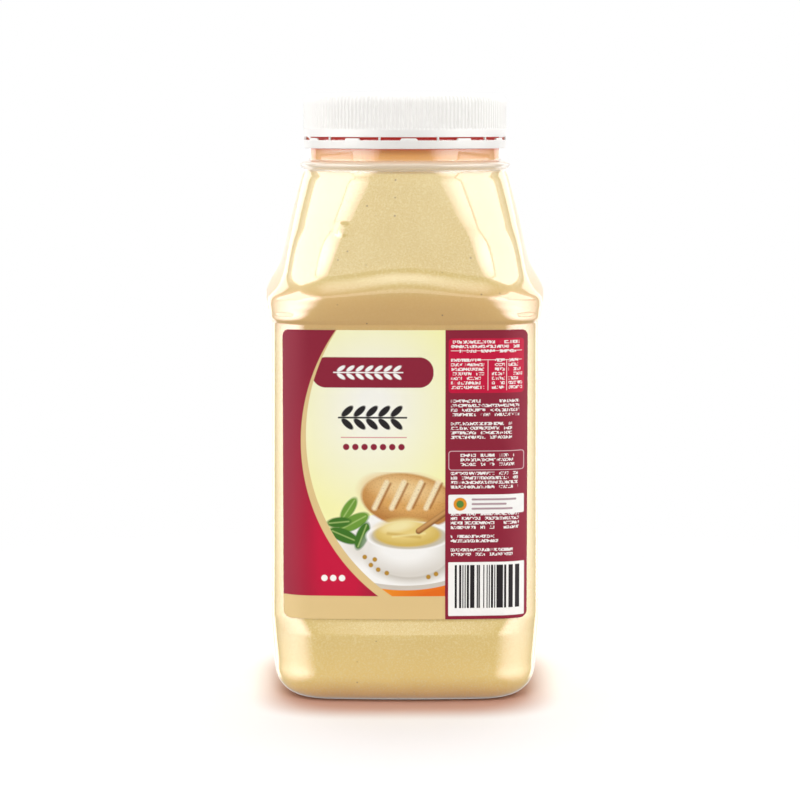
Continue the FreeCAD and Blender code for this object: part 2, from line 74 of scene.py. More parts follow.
LEDGE_BOTTOM = 28.7
LEDGE_TOP = LABEL_BOTTOM - 0.6
SEAM = 156.8
NECK_END = 217.0
# Stations of the body: height, half width (x), half depth (y), radius of the four long face
# arcs, radius of the four corner arcs.
STATIONS = np.array([
    (-1.0, 55.8, 55.8, 335, 23.4),
    (14.2, 55.8, 55.8, 335, 23.4),
    (LEDGE_BOTTOM, 57.1, 57.1, 335, 23.4),
    (LEDGE_TOP, 57.0, 55.1, 427, 18.3),
    (SEAM - 0.3, 56.2, 54.3, 427, 18.3),
    (SEAM, 56.6, 54.7, 427, 18.3),
    (161.85, 58.5, 57.4, 262, 24.4),
    (166.9, BULGE_X - 0.05, 60.2, 152, 30.5),
    (170.8, 59.1, BULGE_Y - 0.05, 152, 30.5),
    (175.2, 55.6, 56.4, 158, 26.3),
    (178.7, 53.5, 53.6, 160, 24.5),
    (197.8, 48.6, 48.6, 80, 35.0),
    (NECK_END, 43.4, 43.4, 45, 42.0),
    (NECK_END + 1, 43.1, 43.1, 44, 42.5),
])
EDGE_EASE = 0.45              # how far edges of the body are eased, up and down
BULGE_EASE = 3.0              # and how much further round the bulge
BULGE_EASE_MIDDLE = 174.0
BULGE_EASE_REACH = 8.5
ARCH_DROP = 5.0               # the bulge sags that much from mid-face to the corners
ARCH_END = 194.0

WALL = 1.0
MUSTARD_INSET = 0.25          # the mustard reaches this near to the outside, into the wall
MUSTARD_BOTTOM = 0.2          # and this near to the ground
BULGE_WALL = 1.5              # the wall is that much thicker in the bulge
BULGE_WALL_MIDDLE = 169.0
BULGE_WALL_REACH = 7.0

FOOT_FILLET = 12.2
BASE_WALL = 1.4
PUSH_UP_RADIUS = 36.6
PUSH_UP_DEPTH = 3.7

COLLAR_RADIUS = 43.1
RING_LOW = 218.4
RING_HIGH = 221.9
RING_RADIUS = 44.6
NECK_LOW_RADIUS = 40.9
NECK_HIGH_RADIUS = 40.3
FINISH_RADIUS = 39.8
BORE_RADIUS = 38.4

CAP_CROWN = 0.8
CAP_EDGE = 3.3
CAP_WALL = 1.3
BAND_TOP = CAP_BOTTOM + 3.5
SLIT_TOP = BAND_TOP + 1.3
RIM_TOP = SLIT_TOP + 2.7
BAND_TAPER = 0.5
RIBS = 150
RIB_DEPTH = 0.45
RIB_COLUMNS = 10
GROOVE_RUNOUT = 1.1
GROOVE_TURN = 0.6             # how far a groove turns aside as it runs out, in half radians
BRIDGES = 11
BRIDGE_WIDTH = math.radians(1.0)
TAB_WIDTH = math.radians(9.0)
TAB_HEIGHT = 0.85
FIRST_BRIDGE = math.radians(-90 - 14.3)

DOT_SIDE = -25.4              # the raised dot on the shoulder, left of the middle
DOT_HEIGHT = 194.5
DOT_RADIUS = 3.3
DOT_RISE = 0.5
DOT_SLOPE = 1.2

LABEL_THICKNESS = 0.15
LABEL_CORNER = 2.8

JAR_COLUMNS = 320


# ------------------------------------------------------------------ meshes
def add_mesh(name, points, faces, uv=None):
    """A smooth mesh object at the origin.  Points in mm; faces are a list of index arrays, each
    (count, 3) or (count, 4).  The winding is turned round if the volume comes out negative."""
    volume = 0.0
    for block in faces:
        a = points[block[:, 0]]
        for second in range(1, block.shape[1] - 1):
            b, c = points[block[:, second]], points[block[:, second + 1]]
            volume += np.einsum("ij,ij->", a, np.cross(b, c))
    if volume < 0:
        faces = [block[:, ::-1] for block in faces]
    sides = np.concatenate([np.full(len(block), block.shape[1]) for block in faces])
    corners = np.concatenate([block.ravel() for block in faces])
    mesh = bpy.data.meshes.new(name)
    mesh.vertices.add(len(points))
    mesh.vertices.foreach_set("co", (points * MM).ravel())
    mesh.loops.add(len(corners))
    mesh.loops.foreach_set("vertex_index", corners)
    mesh.polygons.add(len(sides))
    mesh.polygons.foreach_set("loop_start", np.concatenate([[0], np.cumsum(sides)[:-1]]))
    mesh.polygons.foreach_set("use_smooth", np.ones(len(sides), dtype=bool))
    if uv is not None:
        mesh.uv_layers.new(name="print").data.foreach_set("uv", uv[corners].ravel())
    mesh.update(calc_edges=True)
    mesh.validate()
    shape = bpy.data.objects.new(name, mesh)
    bpy.context.scene.collection.objects.link(shape)
    return shape


def around(radius, height, angles):
    """A grid of points round the axis from radii and heights, each (rows, 1) or (rows, columns)."""
    radius, height, angles = np.broadcast_arrays(radius, height, angles)
    return np.stack([radius * np.cos(angles), radius * np.sin(angles), height], axis=-1)


def wrapped(first, rows, columns):
    """Quads of a grid that starts at vertex first and closes round its columns."""
    row, column = np.meshgrid(np.arange(rows - 1), np.arange(columns), indexing="ij")
    following = (column + 1) % columns
    quads = np.stack([row * columns + column, row * columns + following,
                      (row + 1) * columns + following, (row + 1) * columns + column], axis=-1)
    return quads.reshape(-1, 4) + first


def capped(name, grid):
    """A closed mesh from a (rows, columns, 3) grid round the axis, with a pole at either end."""
    rows, columns = grid.shape[:2]
    poles = [grid[0].mean(axis=0), grid[-1].mean(axis=0)]
    points = np.concatenate([grid.reshape(-1, 3), poles])
    column = np.arange(columns)
    following = (column + 1) % columns
    last = (rows - 1) * columns
    start = np.stack([following, column, np.full(columns, rows * columns)], axis=-1)
    end = np.stack([last + column, last + following, np.full(columns, rows * columns + 1)],
                   axis=-1)
    return add_mesh(name, points, [wrapped(0, rows, columns), start, end])


def looped(name, grid):
    """A closed ring mesh from a grid whose last row joins its first."""
    rows, columns = grid.shape[:2]
    closed = np.concatenate([grid, grid[:1]])
    quads = wrapped(0, rows + 1, columns) % (rows * columns)
    return add_mesh(name, closed[:-1].reshape(-1, 3), [quads])


def column_of(*parts):
    """Numbers as one column, ready to be broadcast against angles."""
    return np.concatenate([np.atleast_1d(np.asarray(part, dtype=float)) for part in parts])[:, None]


def ease(x):
    """0 below 0, 1 above 1 and a smooth turn between: x * x * (3 - 2 x)."""
    x = np.clip(x, 0, 1)
    return x * x * (3 - 2 * x)


def monotone(at, knots, values):
    """Cubic curves through values at knots that never overshoot.

    Each knot's slope is the harmonic mean of its neighbouring slopes, or 0 at a turning point.
    """
    step = np.diff(knots)
    slope = np.diff(values, axis=0) / step[:, None]
    before, after = slope[:-1], slope[1:]
    product = before * after
    inner = np.where(product > 0, 2 * product / np.where(product > 0, before + after, 1), 0)
    tangent = np.concatenate([slope[:1], inner, slope[-1:]])
    index = np.clip(np.searchsorted(knots, at, side="right") - 1, 0, len(step) - 1)
    width = step[index][:, None]
    t = np.clip((at - knots[index])[:, None] / width, 0, 1)
    return (values[index] * (1 + 2 * t) * (1 - t) ** 2
            + tangent[index] * width * t * (1 - t) ** 2
            + values[index + 1] * t * t * (3 - 2 * t)
            + tangent[index + 1] * width * t * t * (t - 1))


def bell(height, middle, reach):
    """1 at the middle height, falling to 0 away from it."""
    return np.exp(-((height - middle) / reach) ** 2)


def station(height):
    """Half width, half depth, face radius and corner radius at an array of heights.

    Straight between the stations up to the seam, smooth above it, and averaged over a short
    way up and down, so that edges are eased.
    """
    flat = np.asarray(height, dtype=float).ravel()
    total = 0
    offsets = np.linspace(-1, 1, 9)
    reach = EDGE_EASE + BULGE_EASE * bell(flat, BULGE_EASE_MIDDLE, BULGE_EASE_REACH)
    for offset in offsets:
        at = flat + offset * reach
        straight = np.stack([np.interp(at, STATIONS[:, 0], STATIONS[:, column])
                             for column in range(1, 5)], axis=-1)
        smooth = monotone(at, STATIONS[:, 0], STATIONS[:, 1:])
        total = total + np.where((at < SEAM)[:, None], straight, smooth)
    return [column.reshape(np.shape(height)) for column in (total / len(offsets)).T]


def section(height):
    """The arcs of the body's outline at a height: the radii of face and corner arcs, how far the
    face arcs' centres lie behind the axis in x and y, and the corner arc's centre in the first
    quarter, which is face - corner away from both face arcs' centres."""
    half_x, half_y, face, corner = station(height)
    back_x, back_y = face - half_x, face - half_y
    span = np.hypot(back_x, back_y)
    reach = np.sqrt((face - corner) ** 2 - (span / 2) ** 2)
    centre_x = -back_x / 2 + reach * back_y / span
    centre_y = -back_y / 2 + reach * back_x / span
    return face, corner, back_x, back_y, centre_x, centre_y


def outline(height, inset, angles):
    """Distance from the axis of the body's outline at angles.

    Four face arcs are centred on the axes at (face - half), and four corner arcs touch them.
    With u and v the direction's parts along the axes, a face arc lies at
    sqrt(F^2 - back^2 v^2) - back u, and a corner arc at p + sqrt(C^2 - |c|^2 + p^2), where p is
    the direction's product with the corner's centre c.  From the seam to ARCH_END the shape
    sags towards the corners by drop * sin^2(2 angle) * sin^2(pi share of the way).
    """
    share = np.clip((height - SEAM) / (ARCH_END - SEAM), 0, 1)
    height = height + ARCH_DROP * (np.sin(math.pi * share) * np.sin(2 * angles)) ** 2
    face, corner, back_x, back_y, centre_x, centre_y = section(height)
    low = np.arctan2(centre_y, centre_x + back_x)
    high = np.arctan2(centre_y + back_y, centre_x)
    face, corner = face - inset, corner - inset
    side_end = np.arctan2(face * np.sin(low), face * np.cos(low) - back_x)
    front_end = np.arctan2(face * np.sin(high) - back_y, face * np.cos(high))
    u, v = np.abs(np.cos(angles)), np.abs(np.sin(angles))
    turn = np.arctan2(v, u)
    side = np.sqrt(face ** 2 - (back_x * v) ** 2) - back_x * u
    front = np.sqrt(face ** 2 - (back_y * u) ** 2) - back_y * v
    along = centre_x * u + centre_y * v
    round_off = along + np.sqrt(np.maximum(
        corner ** 2 - centre_x ** 2 - centre_y ** 2 + along ** 2, 0))
    return np.where(turn < side_end, side, np.where(turn > front_end, front, round_off))


def push_up(radius, lift):
    """Height of the raised middle of the bottom at a radius."""
    return lift + PUSH_UP_DEPTH * ease((PUSH_UP_RADIUS - radius) / (PUSH_UP_RADIUS * 0.55))


def body_rows(inset, thickening, floor, angles, spacing):
    """Radii and heights of the body from the middle of the bottom up to the neck."""
    fillet = FOOT_FILLET - inset
    middle = np.linspace(2, PUSH_UP_RADIUS, 22)[:, None]
    swing = np.linspace(0, math.pi / 2, 16)[:, None]
    foot_height = floor + fillet * (1 - np.cos(swing))
    foot_inset = inset + fillet * (1 - np.sin(swing))
    foot = outline(foot_height, foot_inset, angles)
    share = np.linspace(0, 1, 6)[1:-1, None]
    flat = PUSH_UP_RADIUS + (foot[:1] - PUSH_UP_RADIUS) * share
    start = floor + fillet
    height = np.concatenate([
        np.arange(start + spacing, LEDGE_BOTTOM - 1, spacing * 2),
        np.arange(LEDGE_BOTTOM - 1, LEDGE_TOP + 1, spacing / 2),
        np.arange(LEDGE_TOP + 1, SEAM - 1.5, spacing * 6),
        np.arange(SEAM - 1.5, SEAM + 1.5, 0.2),
        np.arange(SEAM + 1.5, 182, spacing / 1.5),
        np.arange(182, DOT_HEIGHT - 5, spacing * 2),
        np.arange(DOT_HEIGHT - 5, DOT_HEIGHT + 5, spacing / 2),
        np.arange(DOT_HEIGHT + 5, NECK_END, spacing * 2)])[:, None]
    wall = outline(height, inset + thickening * bell(height, BULGE_WALL_MIDDLE,
                                                      BULGE_WALL_REACH), angles)
    width = angles.shape[-1]
    radii = np.concatenate([np.broadcast_to(middle, (len(middle), width)), flat, foot, wall])
    heights = np.concatenate([push_up(middle, floor), np.full_like(share, floor), foot_height,
                              height])
    return radii, heights


def dotted(radii, heights, angles):
    """The radii with the shoulder's dot: rise * ease((radius - distance) / slope), by the
    distance from the dot's middle as seen from the front."""
    distance = np.hypot(radii * np.cos(angles) - DOT_SIDE, heights - DOT_HEIGHT)
    dot = DOT_RISE * ease((DOT_RADIUS - distance) / DOT_SLOPE)
    return radii + np.where(np.sin(angles) < 0, dot, 0)


def rounded_ring(low, high, root_low, root_high, tip, count=9):
    """Radii and heights over a ring with a round rim: half a turn between two roots."""
    swing = np.linspace(-math.pi / 2, math.pi / 2, count)
    middle, half = (low + high) / 2, (high - low) / 2
    root = root_low + (root_high - root_low) * (np.sin(swing) + 1) / 2
    return (root + (tip - root) * np.cos(swing) ** 0.75)[:, None], \
        (middle + half * np.sin(swing) * (0.55 + 0.45 * np.sin(swing) ** 2))[:, None]


def make_jar():
    """The clear jar: one closed skin, up the outside, over the brim and down the inside."""
    angles = np.linspace(0, TURN, JAR_COLUMNS, endpoint=False)[None, :]
    outside, outside_height = body_rows(0.0, 0.0, 0.0, angles, 1.0)
    outside = dotted(outside, outside_height, angles)
    ring, ring_height = rounded_ring(RING_LOW, RING_HIGH, COLLAR_RADIUS, NECK_LOW_RADIUS,
                                     RING_RADIUS)
    neck = column_of(COLLAR_RADIUS, COLLAR_RADIUS - 0.05)
    neck_height = column_of(NECK_END, RING_LOW - 0.15)
    finish = column_of(NECK_LOW_RADIUS - 0.1, NECK_LOW_RADIUS - 0.3, NECK_HIGH_RADIUS,
                       NECK_HIGH_RADIUS, FINISH_RADIUS, FINISH_RADIUS, FINISH_RADIUS - 0.25,
                       BORE_RADIUS + 0.25, BORE_RADIUS, BORE_RADIUS)
    finish_height = column_of(RING_HIGH + 0.3, RING_HIGH + 1.2, CAP_BOTTOM - 0.6,
                              CAP_BOTTOM + 4, CAP_BOTTOM + 5, BRIM - 0.4, BRIM, BRIM,
                              BRIM - 0.4, RING_LOW + 2)
    inside, inside_height = body_rows(WALL, BULGE_WALL, BASE_WALL, angles, 3.0)
    radii = np.concatenate([np.broadcast_to(part, (len(part), JAR_COLUMNS)) for part in
                            (outside, neck, ring, finish, inside[::-1])])
    heights = np.concatenate([outside_height, neck_height, ring_height, finish_height,
                              inside_height[::-1]])
    return capped("jar_clear", around(radii, heights, angles))


def make_mustard():
    """The contents, reaching just into the wall of the jar."""
    angles = np.linspace(0, TURN, JAR_COLUMNS, endpoint=False)[None, :]
    body, height = body_rows(MUSTARD_INSET, BULGE_WALL, MUSTARD_BOTTOM, angles, 2.0)
    body = dotted(body, height, angles)
    neck_radius = FINISH_RADIUS - 0.2
    neck = column_of(COLLAR_RADIUS - 1.2, neck_radius + 0.9, neck_radius + 0.2, neck_radius,
                     neck_radius, neck_radius - 1.0, 30, 15, 3)
    neck_height = column_of(NECK_END + 0.5, RING_LOW + 1.0, RING_LOW + 2.2, RING_HIGH,
                            FILL_LEVEL - 0.8, FILL_LEVEL - 0.1, FILL_LEVEL - 0.5,
                            FILL_LEVEL - 0.2, FILL_LEVEL - 0.3)
    radii = np.concatenate([body, np.broadcast_to(neck, (len(neck), JAR_COLUMNS))])
    return capped("mustard_fill", around(radii, np.concatenate([height, neck_height]), angles))


def make_cap():
    """The ribbed cap above the slit.

    Each groove is depth * cos^4 of half the angle across the pitch; it fades in on the rounded
    top edge and runs out, turned a little outwards, above the plain rim.
    """
    count = RIBS * RIB_COLUMNS
    angles = np.linspace(0, TURN, count, endpoint=False)[None, :]
    shoulder = CAP_PEAK - CAP_CROWN
    root = CAP_RADIUS - 0.05
    fillet_centre = root - CAP_EDGE
    crown = column_of(1.5, np.linspace(6, fillet_centre, 7))
    crown_height = CAP_PEAK - CAP_CROWN * (crown / fillet_centre) ** 2
    swing = np.linspace(0, math.pi / 2, 9)[1:, None]
    edge = fillet_centre + CAP_EDGE * np.sin(swing)
    edge_height = shoulder - CAP_EDGE * (1 - np.cos(swing))
    side_height = column_of(np.linspace(shoulder - CAP_EDGE - 1, RIM_TOP + GROOVE_RUNOUT + 0.5, 5),
                            np.linspace(RIM_TOP + GROOVE_RUNOUT, RIM_TOP - 0.1, 7),
                            SLIT_TOP + 0.3, SLIT_TOP + 0.08)
    radii = np.concatenate([crown, edge, np.full_like(side_height, root)])
    heights = np.concatenate([crown_height, edge_height, side_height])
    fade_in = ease((shoulder + 0.15 - heights) / 1.2)
    run_out = ease((heights - RIM_TOP) / GROOVE_RUNOUT)
    turned = np.clip(3 * np.cos(angles), -1, 1)
    across = np.cos(angles * RIBS / 2 + GROOVE_TURN * (1 - run_out) * turned) ** 4
    inner = column_of(CAP_RADIUS - 0.15, CAP_RADIUS - CAP_WALL + 0.1, CAP_RADIUS - CAP_WALL,
                      CAP_RADIUS - CAP_WALL, CAP_RADIUS - CAP_WALL - 0.4, 3)
    inner_height = column_of(SLIT_TOP, SLIT_TOP, SLIT_TOP + 0.1, BRIM - 0.6, BRIM + 0.02,
                             BRIM + 0.02)
    outer = radii - RIB_DEPTH * fade_in * run_out * across
    radii = np.concatenate([outer, np.broadcast_to(inner, (len(inner), count))])
    return capped("cap_top", around(radii, np.concatenate([heights, inner_height]), angles))


def make_band():
    """The tear band under the slit; its upper edge rises into a tab between two bridges."""
    count = 720
    angles = np.linspace(0, TURN, count, endpoint=False)[None, :]
    pitch = TURN / BRIDGES
    from_tab = np.abs((angles - FIRST_BRIDGE) % pitch - pitch / 2)
    tab = ease((TAB_WIDTH / 2 - from_tab) / math.radians(0.8) + 0.5)
    top = BAND_TOP + TAB_HEIGHT * tab
    inner = CAP_RADIUS - CAP_WALL
    low_outer = CAP_RADIUS - BAND_TAPER
    lip = NECK_HIGH_RADIUS + 0.25
    rows = [
        (lip, CAP_BOTTOM + 0.25), (lip + 0.2, CAP_BOTTOM), (low_outer - 0.35, CAP_BOTTOM),
        (low_outer - 0.06, CAP_BOTTOM + 0.12), (low_outer, CAP_BOTTOM + 0.5),
        (CAP_RADIUS - 0.1, BAND_TOP - 0.5), (CAP_RADIUS - 0.06, top - 0.25),
        (CAP_RADIUS - 0.14, top - 0.06), (CAP_RADIUS - 0.3, top), (inner + 0.1, top),
        (inner, top - 0.1), (inner, CAP_BOTTOM + 1.2), (lip, CAP_BOTTOM + 0.6)]
    grid = np.stack([around(np.array([[radius]]), height, angles)[0]
                     for radius, height in rows])
    return looped("cap_band", grid)


def make_bridges():
    """The small bridges between cap and band: blocks whose corners are named here."""
    starts = FIRST_BRIDGE + TURN / BRIDGES * np.arange(BRIDGES)
    inner, outer = CAP_RADIUS - CAP_WALL + 0.05, CAP_RADIUS - 0.2
    points, quads = [], []
    block = np.array([(0, 3, 2, 1), (4, 5, 6, 7), (0, 1, 5, 4), (1, 2, 6, 5), (2, 3, 7, 6),
                      (3, 0, 4, 7)])
    for number, start in enumerate(starts):
        for height in (BAND_TOP - 0.2, SLIT_TOP + 0.2):
            for radius, side in ((inner, -1), (outer, -1), (outer, 1), (inner, 1)):
                angle = start + side * BRIDGE_WIDTH / 2
                points.append((radius * math.cos(angle), radius * math.sin(angle), height))
        quads.append(block + 8 * number)
    return add_mesh("cap_bridges", np.array(points), [np.concatenate(quads)])


def panel_front(across, height):
    """How far forward the panel's surface lies at a distance across from the middle."""
    face, corner, _, back_y, centre_x, centre_y = section(height)
    touch = centre_x * face / (face - corner)
    across = np.abs(across)
    bowed = np.sqrt(face ** 2 - across ** 2) - back_y
    turned = centre_y + np.sqrt(np.maximum(corner ** 2 - (across - centre_x) ** 2, 0))
    return np.where(across < touch, bowed, turned)


def make_label():
    """The label: a thin skin that follows the panel, with rounded corners.

    Near its upper and lower edge each row is drawn in by c - sqrt(c^2 - (c - d)^2), c being the
    corner's radius and d the distance from the edge.
    """
    columns = 121
    end = np.array([0, 0.1, 0.3, 0.6, 1.0, 1.5, 2.1, LABEL_CORNER])
    height = np.concatenate([LABEL_BOTTOM + end,
                             np.linspace(LABEL_BOTTOM + LABEL_CORNER, LABEL_TOP - LABEL_CORNER,
                                         40)[1:-1],
                             LABEL_TOP - end[::-1]])[:, None]
    near = np.minimum(height - LABEL_BOTTOM, LABEL_TOP - height)
    inward = np.maximum(LABEL_CORNER - near, 0)
    half = LABEL_HALF - LABEL_CORNER + np.sqrt(LABEL_CORNER ** 2 - inward ** 2)
    across = np.linspace(-1, 1, columns)[None, :] * half
    forward = panel_front(across, height)
    height = np.broadcast_to(height, across.shape)
    layers = [np.stack([across, -(forward + lift), height], axis=-1)
              for lift in (-0.1, LABEL_THICKNESS)]
    rows = len(across)
    points = np.concatenate([layer.reshape(-1, 3) for layer in layers])
    row, column = np.meshgrid(np.arange(rows - 1), np.arange(columns - 1), indexing="ij")
    corner = (row * columns + column).ravel()
    back = np.stack([corner, corner + columns, corner + columns + 1, corner + 1], axis=-1)
    front = back[:, ::-1] + rows * columns
    rim = np.concatenate([np.arange(columns), np.arange(1, rows) * columns + columns - 1,
                          (rows - 1) * columns + np.arange(columns - 2, -1, -1),
                          np.arange(rows - 2, 0, -1) * columns])
    onward = np.roll(rim, -1)
    side = np.stack([rim, onward, onward + rows * columns, rim + rows * columns], axis=-1)
    uv = np.stack([points[:, 0], points[:, 2] - LABEL_BOTTOM], axis=-1)
    return add_mesh("label_print", points, [back, front, side], uv)


# ------------------------------------------------------------------ materials
def srgb(red, green, blue):
    """A colour named by its screen values, 0 to 255, as linear light with alpha."""
    def linear(value):
        value /= 255
        return value / 12.92 if value <= 0.04045 else ((value + 0.055) / 1.055) ** 2.4
    return (linear(red), linear(green), linear(blue), 1.0)


class Number:
    """A number in a shader: an output socket with arithmetic."""

    def __init__(self, shader, socket):
        self.shader, self.socket = shader, socket

    def math(self, operation, *others, clamp=False):
        node = self.shader.node("ShaderNodeMath", *others, operation=operation, use_clamp=clamp)
        return Number(self.shader, node.outputs[0])

    def __add__(self, other):
        return self.math("ADD", self, other)

    def __sub__(self, other):
        return self.math("SUBTRACT", self, other)

    def __rsub__(self, other):
        return self.math("SUBTRACT", other, self)

    def __mul__(self, other):
        return self.math("MULTIPLY", self, other)

    def __truediv__(self, other):
        return self.math("DIVIDE", self, other)

    def __pow__(self, other):
        return self.math("POWER", self, other)

    def __abs__(self):
        return self.math("ABSOLUTE", self)

    __radd__, __rmul__ = __add__, __mul__

    def root(self):
        return self.math("SQRT", self)

    def larger(self, other):
        return self.math("MAXIMUM", self, other)

    def rise(self, start, end):
        """0 at start, 1 at end and clamped outside."""
        return self.math("MULTIPLY", self - start, 1 / (end - start), clamp=True)

    def soft(self, start, end):
        """As rise, with a smooth turn at either end."""
        t = self.rise(start, end)
        return t * t * (3 - 2 * t)


class Shader:
    """A material's node tree."""

    def __init__(self, name):
        self.material = bpy.data.materials.new(name)
        self.material.use_nodes = True
        self.tree = self.material.node_tree
        self.tree.nodes.clear()
        self.output = self.node("ShaderNodeOutputMaterial")

    def node(self, kind, *inputs, named=None, **settings):
        """Any node: settings are its own attributes, inputs fill its sockets in order."""
        node = self.tree.nodes.new(kind)
        for key, value in settings.items():
            setattr(node, key, value)
        pairs = list(zip(node.inputs, inputs))
        pairs += [(node.inputs[key], value) for key, value in (named or {}).items()]
        for socket, value in pairs:
            if isinstance(value, Number):
                value = value.socket
            if isinstance(value, bpy.types.NodeSocket):
                self.tree.links.new(value, socket)
            else:
                socket.default_value = value
        return node

    def place(self, output="Object"):
        """x, y and z of Texture Coordinate's output, in mm for Object."""
        source = self.node("ShaderNodeTexCoord").outputs[output]
        parts = self.node("ShaderNodeSeparateXYZ", source)
        scale = 1 / MM if output == "Object" else 1
        return [Number(self, socket) * scale for socket in parts.outputs]

    def blend(self, under, over, amount):
        """The colour over laid on the colour under."""
        node = self.node("ShaderNodeMix", data_type="RGBA",
                         named={0: amount, 6: under, 7: over})
        return node.outputs[2]

    def noise(self, scale, detail=2.0, rough=0.5, vector=None):
        """Soft noise, about 0 to 1; scale in cycles per metre over Object coordinates."""
        if vector is None:
            vector = self.node("ShaderNodeTexCoord").outputs["Object"]
        node = self.node("ShaderNodeTexNoise", named={"Vector": vector, "Scale": scale,
                                                      "Detail": detail, "Roughness": rough})
        return Number(self, node.outputs["Fac"])

    def bump(self, height, distance, strength=1.0):
        """A normal from a height in mm."""
        node = self.node("ShaderNodeBump", named={"Strength": strength,
                                                  "Distance": distance * MM, "Height": height})
        return node.outputs["Normal"]

    def surface(self, shader_socket):
        self.tree.links.new(shader_socket, self.output.inputs["Surface"])
        return self.material

    def principled(self, **inputs):
        """A Principled shader; underscores in the names stand for spaces."""
        named = {key.replace("_", " "): value for key, value in inputs.items()}
        return self.node("ShaderNodeBsdfPrincipled", named=named).outputs[0]


MIRROR_STRAIGHT = 0.14        # how much the clear plastic mirrors when looked at straight


def clear_plastic():
    """Clear PET: it lets everything through and mirrors more at a slant; up the neck it mirrors
    half as much, painted shade for the cap above.  The support ring is drawn as a milky cream
    solid, a painted sheen for the light the clear ring gathers and bends."""
    shader = Shader("clear_plastic")
    z = shader.place()[2]
    clear = shader.node("ShaderNodeBsdfTransparent", (1, 1, 1, 1)).outputs[0]
    ripple = shader.noise(55.0, 1.0)
    normal = shader.bump(ripple, 0.25, 0.35)
    gloss = shader.node("ShaderNodeBsdfAnisotropic", (1, 1, 1, 1), 0.09,
                        named={"Normal": normal}).outputs[0]
    facing = shader.node("ShaderNodeLayerWeight", 0.5, normal).outputs["Facing"]
    mirror = Number(shader, facing) ** 5.0 * (1 - MIRROR_STRAIGHT) + MIRROR_STRAIGHT
    # Painted shade: half the mirroring up the neck, under the cap.
    mirror = mirror * (1 - z.soft(RING_HIGH, RING_HIGH + 1.0) * 0.5)
    glass = shader.node("ShaderNodeMixShader", mirror, clear, gloss).outputs[0]
    # Painted sheen: the clear support ring is drawn as a milky cream solid.
    solid = shader.principled(Base_Color=srgb(244, 234, 218), Roughness=0.12, IOR=1.5)
    ring = z.soft(RING_LOW - 1.3, RING_LOW + 0.1) * (1 - z.soft(RING_HIGH - 0.5, RING_HIGH + 0.7))
    veil = ring * 0.62
    return shader.surface(shader.node("ShaderNodeMixShader", veil, glass, solid).outputs[0])


def mustard():
    """Smooth mustard with fine dark specks, and painted light and shade: lighter low down, darker
    under the bulge and up the neck, glowing red under the cap.
    """
    shader = Shader("mustard")
    z = shader.place()[2]
    cloud = shader.noise(28.0, 3.0)
    grain = shader.noise(1400.0, 2.0)
    base = shader.blend(srgb(233, 206, 126), srgb(228, 198, 110), cloud.rise(0.35, 0.65))
    # Painted light: lighter and warmer towards the bottom, making up for the shade there.
    base = shader.blend(base, srgb(252, 221, 124), (1 - z.soft(2.0, LEDGE_TOP + 6)) * 0.8)
    base = shader.blend(base, srgb(248, 229, 164), grain.rise(0.45, 0.75) * 0.65)
    # Painted shade: darker and browner round the seam, under the bulge.
    painted_shade_under_bulge = z.soft(148.0, SEAM) * (1 - z.soft(166.0, 175.0))
    base = shader.blend(base, srgb(226, 178, 92), painted_shade_under_bulge * 0.8)
    # Darker and more orange up the neck: partly painted shade from the cap, partly the tone seen
    # through the thicker neck.
    neck = z.soft(RING_HIGH - 3.5, RING_HIGH + 1.5)
    base = shader.blend(base, srgb(236, 168, 70), neck)
    # Painted shade and glow: deep red just under the cap's band, with a weak red emission, where
    # the neck lies in the cap's shade.
    painted_red_glow_under_cap = z.soft(CAP_BOTTOM - 0.9, CAP_BOTTOM + 0.2)
    base = shader.blend(base, srgb(206, 70, 56), painted_red_glow_under_cap)
    cells = shader.node("ShaderNodeTexVoronoi", named={
        "Vector": shader.node("ShaderNodeTexCoord").outputs["Object"], "Scale": 260.0})
    distance = Number(shader, cells.outputs["Distance"])
    chosen = Number(shader, shader.node("ShaderNodeSeparateColor",
                                        cells.outputs["Color"]).outputs[0])
    speck = (0.13 - distance).rise(0.0, 0.06) * chosen.rise(0.86, 0.9)
    base = shader.blend(base, srgb(150, 105, 52), speck * 0.75)
    glow = shader.blend((0, 0, 0, 1), srgb(150, 36, 48), painted_red_glow_under_cap)
    return shader.surface(shader.principled(
        Base_Color=base, Roughness=0.55, Specular_IOR_Level=0.25, Emission_Color=glow,
        Emission_Strength=0.35))


def cap_plastic():
    """White polypropylene, satin; inside, below the rim, it has a painted orange glow with a weak
    emission, standing for the mustard's warm light seen through the slit.
    """
    shader = Shader("cap_plastic")
    x, y, z = shader.place()
    from_axis = (x ** 2.0 + y ** 2.0).root()
    # Painted glow: the inner faces below the rim are orange and emit a little.
    inside = ((1 - from_axis.rise(CAP_RADIUS - 1.2, CAP_RADIUS - 1.0))
              * (1 - z.rise(RIM_TOP, RIM_TOP + 2.0)))
    return shader.surface(shader.principled(
        Base_Color=shader.blend(srgb(245, 243, 239), srgb(226, 120, 60), inside),
        Roughness=0.42, IOR=1.49,
        Emission_Color=shader.blend((0, 0, 0, 1), srgb(206, 100, 40), inside),
        Emission_Strength=0.3))


